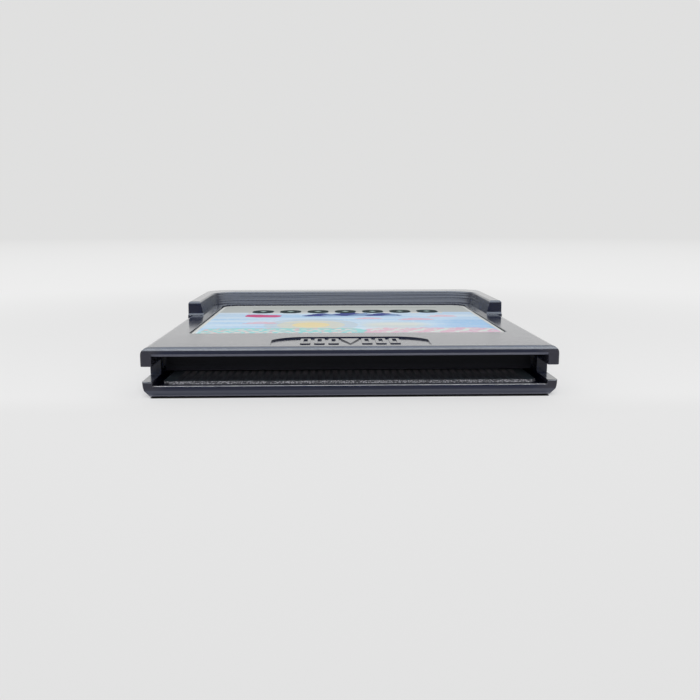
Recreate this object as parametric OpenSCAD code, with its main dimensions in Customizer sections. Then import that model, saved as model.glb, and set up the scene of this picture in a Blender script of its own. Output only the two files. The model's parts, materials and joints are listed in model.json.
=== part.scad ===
// Handheld game cartridge: two moulded shells closed by one screw over a card-edge circuit board.
// The card edge faces -Y, the label faces +Z and the case lies flat on its base at Z = 0.

/* [Case] */
// Width of the case over its side walls
case_w = 66; // [62:0.5:80]
// Length of the case from the mouth to the rear edge
case_l = 68; // [64:0.5:90]
// Height of the flat label face above the table
face_h = 8.25; // [8:0.05:9.5]
// Thickness of the label face
face_t = 1.5; // [1.2:0.05:2]
// Height of the joint between the two shells
joint_h = 2.75; // [2.5:0.05:3]
// Thickness of the side walls
wall_t = 1.8; // [1.6:0.05:2.2]
// Thickness of the rear wall
rear_wall_t = 2.2; // [1.8:0.1:3]
// Thickness of the floor of the base shell
floor_t = 1.2; // [1:0.05:1.4]
// Corner radius at the rear, seen from above
rear_r = 5; // [4:0.25:8]
// Rounding of the upright edges at the front corners
front_r = 0.5; // [0.2:0.05:1]
// Rounding of the label face along its sides
side_edge_r = 1.4; // [0.8:0.05:1.8]
// Rounding of the label face along the mouth
front_edge_r = 0.65; // [0.2:0.05:0.7]
// Width of the slope round the underside of the base shell
foot_slope_w = 0.75; // [0.4:0.05:1.2]
// Height of the slope round the underside of the base shell
foot_slope_h = 1.3; // [0.8:0.05:1.5]
// Draft of the base shell's outer wall, from its joint down to the slope
wall_draft = 0.25; // [0.1:0.05:0.4]
// Rounding between the base shell's outer wall and the slope, along the sides and the rear
foot_r = 0.8; // [0.3:0.1:1.8]
// Rounding between the slope and the underside
foot_edge_r = 0.25; // [0.1:0.05:0.5]
// Height of the low pad under the base shell, on which the case rests
pad_h = 0.2; // [0.1:0.05:0.3]
// Distance of that pad from the edge of the underside
pad_inset = 2; // [1:0.25:4]
// Draft of the label shell's outer wall, from the joint up to the rim's top
face_draft = 0.15; // [0.05:0.05:0.4]
// Step of the base shell's outline inside the label shell's
joint_step = 0.15; // [0.05:0.05:0.2]

/* [Rim] */
// Height of the raised grip rim over the label face
rim_h = 2.85; // [1.5:0.05:4]
// Distance from the mouth to the front of the rim's arms
rim_start = 41; // [32:0.5:48]
// Width of the rim's arms at their foot
rim_arm_w = 3.3; // [2.5:0.1:4.5]
// Width of the rim's rear bar at its foot
rim_bar_w = 6; // [4:0.1:8]
// Lean of the rim's inner wall over its height
rim_lean = 0.65; // [0.2:0.05:1.2]
// Rounding of the rim's outer and front edges
rim_edge_r = 0.55; // [0.2:0.05:0.7]
// Bevel of the rim's inner edge
rim_bevel = 0.25; // [0.1:0.05:0.4]
// Radius of the inner corners at the rim's foot
rim_inner_r = 5; // [4:0.25:6]
// Fillet where the front of an arm meets the label face
rim_foot_r = 0.5; // [0.2:0.05:0.8]

/* [Mouth] */
// Depth of the mouth that the socket enters
mouth_d = 9.5; // [8:0.1:11]
// Thickness of the bulkhead behind the mouth
bulkhead_t = 1.2; // [0.8:0.1:1.6]
// Length of the notches that open the side walls at the mouth
notch_l = 6.5; // [3:0.1:7.5]
// Height of those notches over the joint
notch_h = 2.45; // [1.5:0.05:2.8]
// Width of the lead-in slope over the mouth
lead_in = 0.4; // [0.2:0.05:0.6]
// Height of the low front wall of the base shell
sill_h = 1.9; // [1.7:0.05:2.1]
// Thickness of the low front wall
sill_t = 1.35; // [1:0.05:1.5]
// Small rounding of the moulded edges round the mouth
soft_r = 0.25; // [0.1:0.05:0.35]

/* [Label recess] */
// Distance from the mouth to the label recess
recess_start = 14.7; // [13:0.1:20]
// Depth of the label recess
recess_d = 0.4; // [0.25:0.05:0.5]
// Ledge between the recess and the foot of the rim
recess_ledge = 1.6; // [0.8:0.05:2]
// Radius of the front corners of the recess
recess_front_r = 1; // [0.8:0.05:1.5]
// Thickness of the printed label
label_t = 0.15; // [0.1:0.05:0.2]
// Space between the label and the edge of its recess
label_gap = 0.2; // [0.2:0.05:0.6]
// Distance that the label is stuck on to the right
label_shift = 0.05; // [0:0.05:0.15]

/* [Thumb scoop] */
// Width of the shallow scoop near the mouth
scoop_w = 25.8; // [23:0.2:28]
// Distance from the mouth to the front of the scoop
scoop_start = 1.6; // [1.2:0.1:2.5]
// Length of the scoop
scoop_l = 8.6; // [8:0.1:10]
// Depth of the scoop at its rear wall
scoop_d = 0.28; // [0.26:0.02:0.5]
// Depth of the scoop at its front
scoop_front_d = 0.18; // [0.1:0.02:0.24]
// Radius of the scoop's rear corners
scoop_r = 6; // [3:0.1:6.5]
// Width that the scoop's sides cut off its corners, so that these end in a point
scoop_cut = 0.7; // [0.1:0.1:1]
// Number of raised bars on each side of the arrow
mark_bars = 3; // [1:1:3]
// Width of one raised bar
mark_w = 1.7; // [1:0.1:1.8]
// Length of the raised bars
mark_l = 5; // [4:0.1:6.2]
// Distance from the scoop's rear wall to the bars
mark_inset = 1.6; // [1:0.1:1.9]
// Drop of the bars' tops below the label face
mark_drop = 0.05; // [0.02:0.01:0.1]

/* [Circuit board] */
// Thickness of the circuit board
board_t = 0.8; // [0.6:0.05:1]
// Length of the circuit board
board_l = 48; // [44:0.5:54]
// Distance from the mouth to the board's contact edge
board_start = 1.6; // [1.5:0.05:2.5]
// Space between the board and the side walls
board_gap = 1.3; // [0.6:0.05:2]
// Height of the ribs that carry the board over the floor
board_rib_h = 0.4; // [0.3:0.05:0.8]
// Depth of the bevel on the contact edge
board_bevel = 0.25; // [0.1:0.05:0.28]
// Cut across the front corners of the board
board_corner = 1; // [0.5:0.1:1.4]
// Distance between the centres of two contacts
contact_pitch = 1.25; // [1.2:0.01:1.6]
// Width of one contact
contact_w = 0.8; // [0.5:0.05:0.9]
// Length of one contact
contact_l = 8.2; // [6:0.1:9]
// Thickness of a contact's plating
contact_t = 0.04; // [0.03:0.01:0.08]
// Setback of every second contact from the board's edge
contact_step = 0.7; // [0.2:0.05:1]
// Least distance from the board's corner to the first contact
contact_margin = 1.6; // [1.5:0.1:2.5]

/* [Chip] */
// Length of the memory chip's body
chip_l = 20.6; // [16:0.1:24]
// Width of the memory chip's body
chip_w = 11.4; // [9:0.1:12]
// Thickness of the memory chip's body
chip_t = 2.4; // [2:0.05:2.7]
// Distance from the mouth to the middle of the chip
chip_y = 25.5; // [24:0.1:27]
// Distance of the chip from the middle of the board, to the left
chip_x = 5; // [3:0.1:7]
// Number of leads on each side of the chip
lead_count = 16; // [12:1:16]
// Distance between the centres of two leads
lead_pitch = 1.27; // [1:0.01:1.27]
// Width of one lead
lead_w = 0.42; // [0.3:0.02:0.5]
// Thickness of one lead
lead_t = 0.18; // [0.12:0.02:0.24]
// Reach of a lead beyond the body
lead_reach = 1.4; // [1:0.05:1.6]
// Slope of the body's sides, by which they lean in to its faces
chip_slope = 0.25; // [0.1:0.05:0.35]
// Distance between the small parts beside the chip
part_pitch = 6; // [5:0.1:6.5]

/* [Fixings] */
// Distance from the board's rear edge to the closing screw
screw_inset = 5.6; // [5:0.1:8]
// Radius of the screw's thread
screw_r = 1.25; // [1:0.05:1.4]
// Radius of the screw's head
screw_head_r = 2.1; // [1.8:0.05:2.4]
// Thickness of the screw's head
screw_head_t = 0.7; // [0.5:0.05:0.7]
// Length of the screw under its head
screw_l = 5; // [3.5:0.1:5.2]
// Depth of the screw's head below the underside
screw_sink = 0.2; // [0.1:0.05:0.25]
// Radius of the boss that takes the screw
boss_r = 2.8; // [2.4:0.1:3.4]
// Radius of the pins that line up the shells and the board
pin_r = 1; // [0.7:0.05:1.2]
// Distance from the pins to the inside of the side walls
pin_inset = 5.6; // [5.2:0.1:8]
// Distance from the bulkhead to the front pins
front_pin_y = 3.6; // [3:0.1:5]
// Distance from the board's rear edge to the rear pins
rear_pin_y = 3.6; // [3:0.1:6]
// Wall round a pin's socket and its collar
pin_wall = 0.9; // [0.7:0.05:1.1]
// Clearance round pins, screw and tongue
fit_gap = 0.1; // [0.05:0.01:0.15]
// Height of the tongue along the joint
tongue_h = 0.7; // [0.4:0.05:0.9]
// Thickness of the tongue along the joint
tongue_t = 0.7; // [0.5:0.05:0.8]
// Thickness of the stiffening ribs
rib_t = 0.8; // [0.6:0.05:1.2]
// Distance between the stiffening ribs
rib_pitch = 14; // [11:0.5:15]
// Depth of the ribs under the label face
face_rib_h = 0.8; // [0.5:0.05:1]

/* [Hidden] */
$fn = 64;

// Colours of the finished pieces
shell_colour = "#26272e";
paper_colour = "#c9d6e2";
board_colour = "#3f5a3c";
gold_colour = "#b08d4a";
tin_colour = "#b9bcc0";
chip_colour = "#1b1b1d";
resin_colour = "#c58a2a";
ceramic_colour = "#b79b77";
glaze_colour = "#2a2c30";

// Standard surface-mount sizes: length, width, height and length of one tinned end
tantalum_size = [3.6, 2.8, 1.9, 0.8];
ceramic_size = [2, 1.25, 0.9, 0.4];
resistor_size = [2, 1.25, 0.55, 0.4];

// Extra depth that carries a cut clear through a face
over = 1;

// Share by which a rounding's circle is larger than the one that only touches its edges
hair = 0.001;

// Heights
top_h = face_h + rim_h;
roof_z = face_h - face_t;
lip_z = joint_h + notch_h;
board_z = floor_t + board_rib_h;
board_top = board_z + board_t;
recess_z = face_h - recess_d;

// Places across the case, from its middle plane
half_w = case_w / 2;
inner_half_w = half_w - wall_t;
board_half_w = inner_half_w - board_gap;
recess_half_w = half_w - rim_arm_w - recess_ledge;
pin_x = inner_half_w - pin_inset;

// Places along the case, from the mouth
chamber_y = mouth_d + bulkhead_t;
chamber_end = case_l - rear_wall_t;
recess_end = case_l - rim_bar_w - recess_ledge;
board_end = board_start + board_l;
screw_y = board_end - screw_inset;
pin_front_y = chamber_y + front_pin_y;
pin_rear_y = board_end - rear_pin_y;
scoop_end = scoop_start + scoop_l;

// Corner radii that follow from the walls round them
chamber_r = rear_r - wall_t;
recess_rear_r = rim_inner_r - recess_ledge;

// Contacts that fit on the board, and the places of the first ones
contact_count = floor((2 * board_half_w - 2 * contact_margin - contact_w) / contact_pitch) + 1;
contact_x0 = -(contact_count - 1) * contact_pitch / 2;

// Screw seat in the base shell, and the tower that holds it
seat_z = screw_sink + screw_head_t;
head_gap = 4 * fit_gap;
tower_r = screw_head_r + head_gap + 1.8 * pin_wall;

// Small parts beside the chip
part_x = board_half_w / 2;

// Puts a piece drawn from the mouth backwards round the middle of the case
module from_mouth() {
    translate([0, -case_l / 2, 0]) children();
}

// Draws children twice, mirrored across the middle plane
module both_sides() {
    children();
    mirror([1, 0, 0]) children();
}

// Extrudes a profile of depth and height across the case
module across(w) {
    translate([-w / 2, 0, 0]) rotate([90, 0, 90]) linear_extrude(w) children();
}

// Extrudes a profile of width and height along the case, from y0 to y1
module along(y0, y1) {
    translate([0, y1, 0]) rotate([90, 0, 0]) linear_extrude(y1 - y0) children();
}

// Rectangle from the mouth backwards, with its own radii at the front and at the rear
module plan(half, y0, y1, r_front, r_rear) {
    translate([-half, y0 + r_front]) square([2 * half, y1 - r_rear - y0 - r_front]);
    translate([-half + r_front, y0]) square([2 * (half - r_front), y1 - y0 - r_rear]);
    translate([-half + r_rear, y1 - 2 * r_rear]) square([2 * (half - r_rear), 2 * r_rear]);
    both_sides() {
        translate([half - r_front, y0 + r_front]) circle(r_front);
        translate([half - r_rear, y1 - r_rear]) circle(r_rear);
    }
}

// Sweeps an edge profile round the sides and the rear of a block that is open to the front.
// The profile starts at the centre of the corner radius r and spans the heights z0 to z1.
module swept_block(half, y0, y1, r, z0, z1) {
    translate([-(half - r), y0, z0]) cube([2 * (half - r), y1 - r - y0, z1 - z0]);
    both_sides() {
        translate([half - r, 0, 0]) along(y0, y1 - r) children();
        translate([half - r, y1 - r, 0]) rotate_extrude(angle = 90) children();
    }
    translate([0, y1 - r, 0]) across(2 * (half - r)) children();
}

function unit(v) = v / norm(v);

// What a rounding of radius r takes off corner q between its neighbours p and s. Its circle is drawn
// a hair too large, so that it crosses both edges instead of only touching them.
module corner_cut(p, q, s, r) {
    to_p = unit(p - q);
    to_s = unit(s - q);
    half_sine = sqrt((1 - to_p * to_s) / 2);
    inwards = unit(to_p + to_s);
    reach = r * sqrt(1 / pow(half_sine, 2) - 1);
    centre = q + inwards * r / half_sine;
    difference() {
        polygon([
            centre, centre + (q + to_p * reach - centre) * (1 + hair),
            q - inwards * over, centre + (q + to_s * reach - centre) * (1 + hair)
        ]);
        translate(centre) circle(r * (1 + 2 * hair));
    }
}

// Polygon whose outer corners are rounded by the radii of the same places in the list
module soft_polygon(points, radii) {
    n = len(points);
    difference() {
        polygon(points);
        for (i = [0 : n - 1]) if (radii[i] > 0)
            corner_cut(points[(i + n - 1) % n], points[i], points[(i + 1) % n], radii[i]);
    }
}

// Corner that a rounding of radius r takes off, at the origin, with the solid at -x and -y
module corner_off(r) {
    translate([-r, -r]) difference() {
        square(r + over);
        circle(r);
    }
}

// Distance of the label shell's outer wall from the centre of its rear corners, at height z
function outer_x(z) = rear_r - face_draft * (z - joint_h) / (top_h - joint_h);

// Profile of the label shell's outer wall from height z0 to z1, rounded at its top
module outer_wall(z0, z1, r) {
    soft_polygon([[0, z0], [outer_x(z0), z0], [outer_x(z1), z1], [0, z1]], [0, 0, r, 0]);
}

// Label face and upper walls of the label shell, still without the rim
module face_block() {
    intersection() {
        swept_block(half_w, 0, case_l, rear_r, joint_h, face_h) outer_wall(joint_h, face_h, side_edge_r);
        across(case_w + 2 * over) soft_polygon(
            [[0, joint_h], [0, face_h], [case_l + over, face_h], [case_l + over, joint_h]],
            [0, front_edge_r, 0, 0]
        );
        translate([0, 0, joint_h]) linear_extrude(face_h)
            plan(half_w, 0, case_l + rear_r, front_r, rear_r);
    }
}

// Raised rim round the sides and the rear of the label
module rim() {
    root_z = face_h - side_edge_r - soft_r;
    difference() {
        intersection() {
            swept_block(half_w, rim_start - rim_foot_r, case_l, rear_r, root_z, top_h)
                outer_wall(root_z, top_h, rim_edge_r);
            across(case_w + 2 * over) difference() {
                translate([rim_start - rim_foot_r, root_z])
                    square([case_l - rim_start + rim_foot_r, top_h - root_z]);
                translate([rim_start, top_h]) mirror([1, 0]) corner_off(rim_edge_r);
                translate([rim_start - rim_foot_r, face_h + rim_foot_r]) circle(rim_foot_r);
                translate([rim_start - rim_foot_r - over, face_h + rim_foot_r])
                    square([rim_foot_r + over, rim_h]);
            }
        }
        swept_block(half_w - rim_arm_w, rim_start - rim_foot_r - over, case_l - rim_bar_w,
                rim_inner_r, face_h, top_h + over)
            polygon([
                [0, face_h], [rim_inner_r, face_h],
                [rim_inner_r + rim_lean, top_h - rim_bevel],
                [rim_inner_r + rim_lean + rim_bevel, top_h],
                [rim_inner_r + rim_lean + rim_bevel, top_h + over], [0, top_h + over]
            ]);
    }
}

// Space for the socket in front of the bulkhead and for the parts behind it
module inner_space() {
    translate([0, 0, joint_h - over]) linear_extrude(roof_z - joint_h + over) {
        translate([-inner_half_w, -over]) square([2 * inner_half_w, mouth_d + over]);
        plan(inner_half_w, chamber_y, chamber_end, soft_r, chamber_r);
    }
}

// Openings in both side walls at the mouth, with a rounded upright edge behind them
module side_notches() {
    both_sides() {
        translate([0, 0, joint_h - over]) linear_extrude(notch_h + over) {
            translate([inner_half_w - over, -over]) square([wall_t + 2 * over, notch_l + over]);
            translate([half_w, notch_l]) mirror([0, 1]) corner_off(soft_r);
        }
        along(-over, notch_l) translate([half_w, lip_z]) mirror([0, 1]) corner_off(soft_r);
    }
}

// Shallow scoop whose floor rises a little towards the mouth
module thumb_scoop() {
    intersection() {
        translate([0, 0, roof_z]) linear_extrude(face_t + over) intersection() {
            plan(scoop_w / 2 + scoop_cut, scoop_start, scoop_end, scoop_r / 2, scoop_r);
            translate([-scoop_w / 2, 0]) square([scoop_w, scoop_end + over]);
        }
        across(scoop_w + 2 * over) polygon([
            [scoop_start, face_h - scoop_front_d], [scoop_end, face_h - scoop_d],
            [scoop_end, face_h + over], [scoop_start, face_h + over]
        ]);
    }
}

// Raised arrow and slotted bars in the scoop that show which end goes in first
module scoop_marks() {
    mark_h = scoop_d - mark_drop;
    mark_y = scoop_end - mark_inset - mark_l;
    arrow_half_w = 0.9 * mark_w;
    mark_step = (scoop_w / 2 - scoop_r) / mark_bars;
    translate([0, 0, face_h - scoop_d - over / 2]) linear_extrude(mark_h + over / 2) {
        polygon([[0, mark_y], [arrow_half_w, mark_y + mark_l], [-arrow_half_w, mark_y + mark_l]]);
        both_sides() for (i = [1 : mark_bars])
            translate([i * mark_step + mark_w / 4, mark_y]) difference() {
                plan(mark_w / 2, 0, mark_l, mark_w / 4, mark_w / 4);
                plan(mark_w / 5, mark_w / 4, mark_l - mark_w / 4, mark_w / 20, mark_w / 20);
            }
    }
}

// Post from the label face down to the board, with a socket of depth d in its lower end
module post(r, socket_r, d) {
    translate([0, 0, board_top]) difference() {
        cylinder(h = roof_z - board_top + fit_gap, r = r);
        translate([0, 0, -over]) cylinder(h = d + over, r = socket_r);
    }
}

// Draws children at each of the four locating pins
module at_pins() {
    for (x = [-pin_x, pin_x], y = [pin_front_y, pin_rear_y]) translate([x, y, 0]) children();
}

module label_shell() {
    color(shell_colour) from_mouth() {
        difference() {
            union() {
                face_block();
                rim();
            }
            inner_space();
            // slot that lets the board pass under the bulkhead
            translate([-board_half_w - fit_gap, mouth_d - over, joint_h - over])
                cube([2 * (board_half_w + fit_gap), bulkhead_t + 2 * over,
                    board_top + 3 * fit_gap - joint_h + over]);
            side_notches();
            // rebate that takes the tongue of the base shell
            translate([0, 0, joint_h - over]) linear_extrude(tongue_h + fit_gap + over) difference() {
                plan(inner_half_w + tongue_t + fit_gap, notch_l + 2 * soft_r,
                    chamber_end + tongue_t + fit_gap, soft_r, chamber_r + tongue_t);
                plan(inner_half_w - fit_gap, 0, chamber_end - fit_gap, soft_r, chamber_r);
            }
            // lead-in slope over the mouth
            across(2 * inner_half_w) polygon([
                [-over, roof_z - over], [lead_in, roof_z - over], [lead_in, roof_z],
                [0, roof_z + lead_in], [-over, roof_z + lead_in + over]
            ]);
            // label recess
            translate([0, 0, recess_z]) linear_extrude(face_t)
                plan(recess_half_w, recess_start, recess_end, recess_front_r, recess_rear_r);
            thumb_scoop();
        }
        scoop_marks();
        // ribs that stiffen the label face
        for (i = [-1, 1]) translate([i * rib_pitch - rib_t / 2, chamber_y - fit_gap, roof_z - face_rib_h])
            cube([rib_t, chamber_end - chamber_y + 2 * fit_gap, face_rib_h + fit_gap]);
        // boss for the screw, and posts for the pins of the base shell
        translate([0, screw_y, 0]) post(boss_r, screw_r + fit_gap, roof_z - board_top - fit_gap);
        at_pins() post(pin_r + fit_gap + pin_wall, pin_r + fit_gap, tongue_h + fit_gap);
    }
}

// Outer form of the base shell, with its draft, the slope round its underside and the low pad
module base_block() {
    base_half_w = half_w - joint_step;
    base_end = case_l - joint_step;
    edge_w = wall_draft + foot_slope_w;
    intersection() {
        swept_block(base_half_w, -over, base_end, rear_r, pad_h, joint_h) soft_polygon(
            [
                [0, pad_h], [rear_r - edge_w, pad_h], [rear_r - wall_draft, foot_slope_h],
                [rear_r, joint_h], [0, joint_h]
            ],
            [0, foot_edge_r, foot_r, 0, 0]
        );
        across(case_w + 2 * over) soft_polygon(
            [
                [edge_w, pad_h], [wall_draft, foot_slope_h], [0, joint_h],
                [case_l, joint_h], [case_l, pad_h]
            ],
            [foot_edge_r, soft_r, 0, 0, 0]
        );
        linear_extrude(joint_h) plan(base_half_w, 0, case_l + rear_r, front_r, rear_r);
    }
    linear_extrude(floor_t / 2)
        plan(base_half_w - edge_w - pad_inset, edge_w + pad_inset, base_end - edge_w - pad_inset,
            soft_r, max(soft_r, rear_r - edge_w - pad_inset));
}

module base_shell() {
    color(shell_colour) from_mouth() {
        difference() {
            union() {
                difference() {
                    base_block();
                    // hollow behind the low front wall
                    translate([0, 0, floor_t]) linear_extrude(joint_h)
                        plan(inner_half_w, sill_t, chamber_end, soft_r, chamber_r);
                    // opening over the low front wall
                    translate([-inner_half_w, -over, sill_h])
                        cube([2 * inner_half_w, sill_t + 2 * over, joint_h]);
                    across(2 * inner_half_w) translate([0, sill_h]) mirror([1, 0]) corner_off(soft_r);
                    // rounding on the front ends of the side walls
                    both_sides() translate([inner_half_w + wall_t / 2, 0, 0])
                        across(wall_t + over) translate([0, joint_h]) mirror([1, 0]) corner_off(soft_r);
                }
                // tongue along the joint, behind the notches
                translate([0, 0, floor_t]) linear_extrude(joint_h + tongue_h - floor_t) difference() {
                    plan(inner_half_w + tongue_t, notch_l + 2 * soft_r + fit_gap,
                        chamber_end + tongue_t, soft_r, chamber_r + tongue_t);
                    plan(inner_half_w, notch_l, chamber_end, soft_r, chamber_r);
                    translate([-inner_half_w, 0]) square([2 * inner_half_w, chamber_y]);
                }
                // ribs that carry the board
                for (i = [-2 : 2]) translate([i * rib_pitch - rib_t / 2, sill_t - fit_gap, floor_t - fit_gap])
                    cube([rib_t, chamber_end - sill_t + 2 * fit_gap, board_rib_h + fit_gap]);
                // screw tower
                translate([0, screw_y, 0]) cylinder(h = board_z, r = tower_r);
                at_pins() {
                    cylinder(h = board_z, r = pin_r + pin_wall);
                    cylinder(h = board_top + tongue_h, r = pin_r);
                }
            }
            translate([0, screw_y, -over]) cylinder(h = seat_z + over, r = screw_head_r + head_gap);
            translate([0, screw_y, -over]) cylinder(h = board_z + 2 * over, r = screw_r + fit_gap);
        }
    }
}

module label() {
    label_half_w = recess_half_w - label_gap;
    color(paper_colour) from_mouth() translate([label_shift, 0, recess_z]) linear_extrude(label_t)
        plan(label_half_w, recess_start + label_gap, recess_end - label_gap,
            recess_front_r - label_gap, recess_rear_r - label_gap);
}

module circuit_board() {
    color(board_colour) from_mouth() difference() {
        intersection() {
            translate([0, 0, board_z]) across(2 * board_half_w) polygon([
                [board_start, board_bevel], [board_start + 2 * board_bevel, 0], [board_end, 0],
                [board_end, board_t], [board_start + 2 * board_bevel, board_t],
                [board_start, board_t - board_bevel]
            ]);
            translate([0, 0, board_z - over]) linear_extrude(board_t + 2 * over) polygon([
                [board_half_w - board_corner, board_start], [board_half_w, board_start + board_corner],
                [board_half_w, board_end], [-board_half_w, board_end],
                [-board_half_w, board_start + board_corner], [board_corner - board_half_w, board_start]
            ]);
        }
        at_pins() cylinder(h = top_h, r = pin_r + fit_gap);
        translate([0, screw_y, 0]) cylinder(h = top_h, r = screw_r + 2 * fit_gap);
    }
}

// Gold contacts on the board's upper face, every second one set back from the edge
module edge_contacts() {
    first_y = board_start + 2 * board_bevel;
    color(gold_colour) from_mouth() for (i = [0 : contact_count - 1]) {
        setback = (i % 2) * contact_step;
        translate([contact_x0 + i * contact_pitch - contact_w / 2, first_y + setback, board_top])
            cube([contact_w, contact_l - setback, contact_t]);
    }
}

// Stands children on the board, centred on a place given from the mouth
module on_board(x, y) {
    from_mouth() translate([x, y, board_top]) children();
}

// Moulded chip body with sloped sides and a mark at its first lead
module rom_chip() {
    body_z = lead_t / 2;
    band = 1.5 * lead_t;
    mark_r = chip_w / 19;
    mark_in = 3 * mark_r;
    mid_z = body_z + chip_t / 2;
    top_z = body_z + chip_t;
    color(chip_colour) on_board(-chip_x, chip_y) difference() {
        intersection() {
            across(chip_l) polygon([
                [-chip_w / 2 + chip_slope, body_z], [chip_w / 2 - chip_slope, body_z],
                [chip_w / 2, mid_z - band], [chip_w / 2, mid_z + band],
                [chip_w / 2 - chip_slope, top_z], [-chip_w / 2 + chip_slope, top_z],
                [-chip_w / 2, mid_z + band], [-chip_w / 2, mid_z - band]
            ]);
            along(-chip_w, chip_w) polygon([
                [-chip_l / 2 + chip_slope, body_z], [chip_l / 2 - chip_slope, body_z], [chip_l / 2, mid_z],
                [chip_l / 2 - chip_slope, top_z], [-chip_l / 2 + chip_slope, top_z], [-chip_l / 2, mid_z]
            ]);
        }
        translate([mark_in - chip_l / 2, mark_in - chip_w / 2, top_z - mark_r / 6])
            cylinder(h = over, r = mark_r);
    }
}

// Gull-wing leads, bent from the middle of the body down to the board
module rom_leads() {
    exit_z = lead_t / 2 + chip_t / 2;
    knee = 0.35 * lead_reach;
    heel = 0.5 * lead_reach;
    color(tin_colour) on_board(-chip_x, chip_y)
        for (side = [0, 180], i = [0 : lead_count - 1]) rotate(side)
            translate([(i - (lead_count - 1) / 2) * lead_pitch, chip_w / 2, 0]) across(lead_w) polygon([
                [0, exit_z - lead_t / 2], [knee - lead_t / 2, exit_z - lead_t / 2],
                [heel - lead_t / 2, 0], [lead_reach, 0], [lead_reach, lead_t],
                [heel + lead_t / 2, lead_t], [knee + lead_t / 2, exit_z + lead_t / 2],
                [0, exit_z + lead_t / 2]
            ]);
}

// Surface-mount part: a body between two tinned ends that stand a little proud of it
module chip_part(size, proud) {
    body_l = size[0] - 2 * size[3];
    translate([-body_l / 2, -size[1] / 2 + proud, proud])
        cube([body_l, size[1] - 2 * proud, size[2] - 2 * proud]);
    both_sides() translate([body_l / 2, -size[1] / 2, 0]) cube([size[3], size[1], size[2]]);
}

module tantalum_capacitor() {
    color(resin_colour) on_board(part_x, chip_y) rotate(90) chip_part(tantalum_size, 0.05);
}

module ceramic_capacitor(i) {
    color(ceramic_colour) on_board(part_x + (i - 1.5) * part_pitch, chip_y - part_pitch)
        chip_part(ceramic_size, 0.02);
}

module chip_resistor(i) {
    color(glaze_colour) on_board(part_x + (i - 1.5) * part_pitch, chip_y + part_pitch)
        chip_part(resistor_size, 0.02);
}

// Security screw: a scalloped head, a thread core and a short point
module closing_screw() {
    point_l = screw_r;
    point_r = screw_r / 4;
    bevel = screw_head_r / 14;
    color(tin_colour) from_mouth() translate([0, screw_y, seat_z]) difference() {
        rotate_extrude() polygon([
            [0, -screw_head_t], [screw_head_r - bevel, -screw_head_t],
            [screw_head_r, bevel - screw_head_t], [screw_head_r, 0], [screw_r, 0],
            [screw_r, screw_l - point_l], [point_r, screw_l], [0, screw_l]
        ]);
        for (i = [0 : 5]) rotate(60 * i) translate([screw_head_r, 0, -screw_head_t - over])
            cylinder(h = screw_head_t + over, r = screw_head_r / 4);
    }
}

label_shell();
base_shell();
label();
circuit_board();
edge_contacts();
rom_chip();
rom_leads();
tantalum_capacitor();
ceramic_capacitor(1);  // ceramic_capacitor_1
ceramic_capacitor(2);  // ceramic_capacitor_2
chip_resistor(1);  // chip_resistor_1
chip_resistor(2);  // chip_resistor_2
closing_screw();
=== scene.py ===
# A handheld game cartridge, lying flat and seen from its open end.
# Lengths are in metres unless a note says mm; the mouth faces -Y and the label faces +Z.
import json
import math

import bmesh
import bpy
from mathutils import Matrix, Vector


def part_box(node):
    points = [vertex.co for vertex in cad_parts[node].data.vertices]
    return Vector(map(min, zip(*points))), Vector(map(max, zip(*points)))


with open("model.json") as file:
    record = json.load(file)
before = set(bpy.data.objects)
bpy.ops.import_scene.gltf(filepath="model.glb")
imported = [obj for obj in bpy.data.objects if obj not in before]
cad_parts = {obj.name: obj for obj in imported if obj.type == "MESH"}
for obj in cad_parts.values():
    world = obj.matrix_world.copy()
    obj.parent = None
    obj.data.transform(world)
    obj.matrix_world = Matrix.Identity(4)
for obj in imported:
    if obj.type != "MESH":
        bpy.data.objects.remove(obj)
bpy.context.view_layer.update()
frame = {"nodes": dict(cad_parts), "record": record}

mm = 0.001
nodes = frame["nodes"]
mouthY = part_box("label_shell")[0][1]    # where the open end is
scene = bpy.context.scene
scene.view_settings.view_transform = "Standard"


# Camera, placed from the foot of the mouth on the middle plane, in mm and radians

cameraSetup = {
    "back": 115.3,          # distance in front of the mouth
    "left": 3.185,          # distance left of the middle plane
    "up": 27.53,            # height over the table
    "yaw": 0.026,           # turned to the right
    "pitch": 0.1702,        # tipped down
    "roll": -0.001,         # turned about the line of sight
    "nearest": 5.0,         # nothing closer than this is drawn
    "focalPixels": 748.0, "picturePixels": 700.0, "sensorWidth": 36.0,
}


def buildCamera():
    c = cameraSetup
    ahead = Vector((math.sin(c["yaw"]), math.cos(c["yaw"]), 0.0))
    right = Vector((math.cos(c["yaw"]), -math.sin(c["yaw"]), 0.0))
    up = Vector((0.0, 0.0, 1.0))
    view = ahead * math.cos(c["pitch"]) - up * math.sin(c["pitch"])
    top = up * math.cos(c["pitch"]) + ahead * math.sin(c["pitch"])
    side = right * math.cos(c["roll"]) + top * math.sin(c["roll"])
    top = top * math.cos(c["roll"]) - right * math.sin(c["roll"])
    data = bpy.data.cameras.new("photoCamera")
    data.sensor_width = c["sensorWidth"]
    data.lens = c["focalPixels"] / c["picturePixels"] * c["sensorWidth"]
    data.clip_start = c["nearest"] * mm
    camera = bpy.data.objects.new("photoCamera", data)
    scene.collection.objects.link(camera)
    place = Matrix((side, top, -view)).transposed().to_4x4()
    place.translation = Vector((-c["left"] * mm, mouthY - c["back"] * mm, c["up"] * mm))
    camera.matrix_world = place
    scene.camera = camera


buildCamera()
print("camera placed")


# Small tools for shader trees

noiseSpan = (0.3, 0.7)      # most of a noise texture's values lie between these


def plug(tree, socket, value):
    if isinstance(value, bpy.types.NodeSocket):
        tree.links.new(value, socket)
    else:
        socket.default_value = value


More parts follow.
